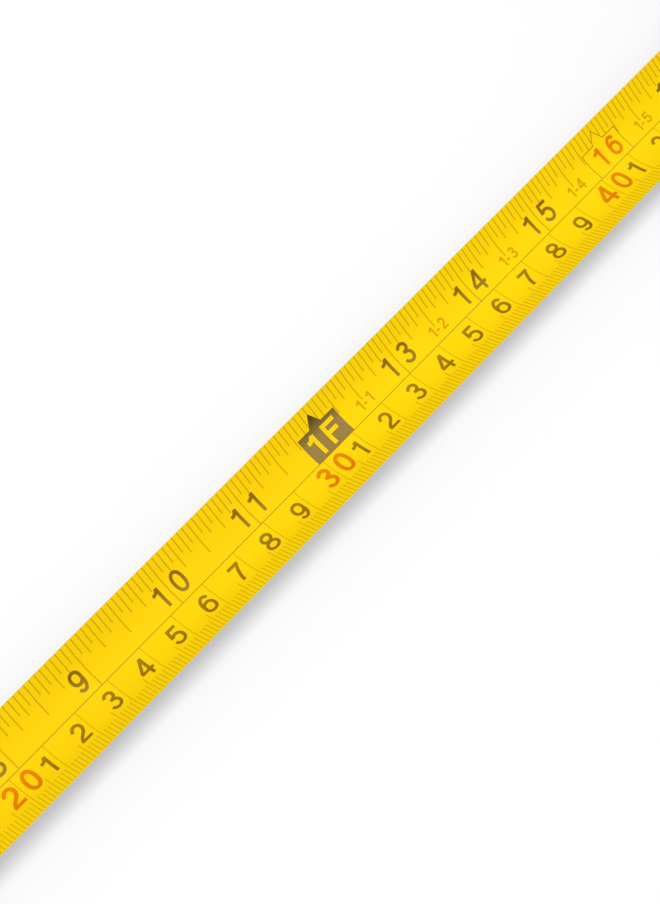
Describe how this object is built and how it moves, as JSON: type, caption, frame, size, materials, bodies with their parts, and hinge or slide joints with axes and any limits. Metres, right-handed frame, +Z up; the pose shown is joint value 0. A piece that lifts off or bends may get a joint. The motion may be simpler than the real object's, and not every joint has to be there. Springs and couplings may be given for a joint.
{
  "type": "retractable tape measure",
  "caption": "Pocket tape measure with a cambered steel blade drawn out of a rubber-gripped case and held by a thumb lock, with inch and millimetre scales.",
  "frame": {"origin": "on the flat base of the case, under the axis of the reel, midway across the case", "axes": "+X along the blade from the hook towards the case, +Y towards the inch side of the blade, +Z up"},
  "size_m": [0.531, 0.043, 0.0687],
  "materials": {
    "case_plastic": "fine spark-eroded texture",
    "grip_rubber": "matte",
    "zinc_steel": "zinc plated",
    "plated_steel": "satin nickel plated",
    "spring_steel": "bright rolled",
    "inner_plastic": "natural moulded",
    "yellow_blade": "satin lacquer with dark print",
    "rivet_brass": "bright",
    "lock_plastic": "satin"
  },
  "bodies": {
    "case": {"case_left": "case_plastic", "case_right": "case_plastic", "grip_left": "grip_rubber", "grip_right": "grip_rubber", "grip_band": "grip_rubber", "case_screws": "zinc_steel", "wear_plate": "plated_steel", "hook_bumper": "grip_rubber", "belt_clip": "spring_steel", "belt_clip_screw": "zinc_steel", "centre_post": "inner_plastic", "liner_left": "inner_plastic", "liner_right": "inner_plastic", "detent_spring": "spring_steel"},
    "reel": {"reel_drum": "inner_plastic", "reel_cover": "inner_plastic", "mainspring": "spring_steel", "wound_blade": "yellow_blade"},
    "blade": {"blade": "yellow_blade", "hook_rivets": "rivet_brass"},
    "hook": {"end_hook": "plated_steel"},
    "lock": {"lock_button": "lock_plastic", "brake_shoe": "case_plastic", "brake_pad": "grip_rubber"}
  },
  "joints": [
    {"name": "blade_slide", "type": "slide", "parent": "case", "child": "blade", "axis": [1, 0, 0], "range_m": [0, 0.4567], "deforming": ["blade"]},
    {"name": "reel_spin", "type": "hinge", "parent": "case", "child": "reel", "pos_m": [0, 0, 0.03635], "axis": [0, -1, 0], "range_deg": [0, 1000], "deforming": ["mainspring"]},
    {"name": "hook_slide", "type": "slide", "parent": "blade", "child": "hook", "axis": [1, 0, 0], "range_m": [0, 0.001]},
    {"name": "lock_slide", "type": "slide", "parent": "case", "child": "lock", "axis": [0, 0, 1], "range_m": [0, 0.006]}
  ],
  "couplings": [
    {"joint": "reel_spin", "follows": "blade_slide", "rad_per_m": 38.095}
  ]
}
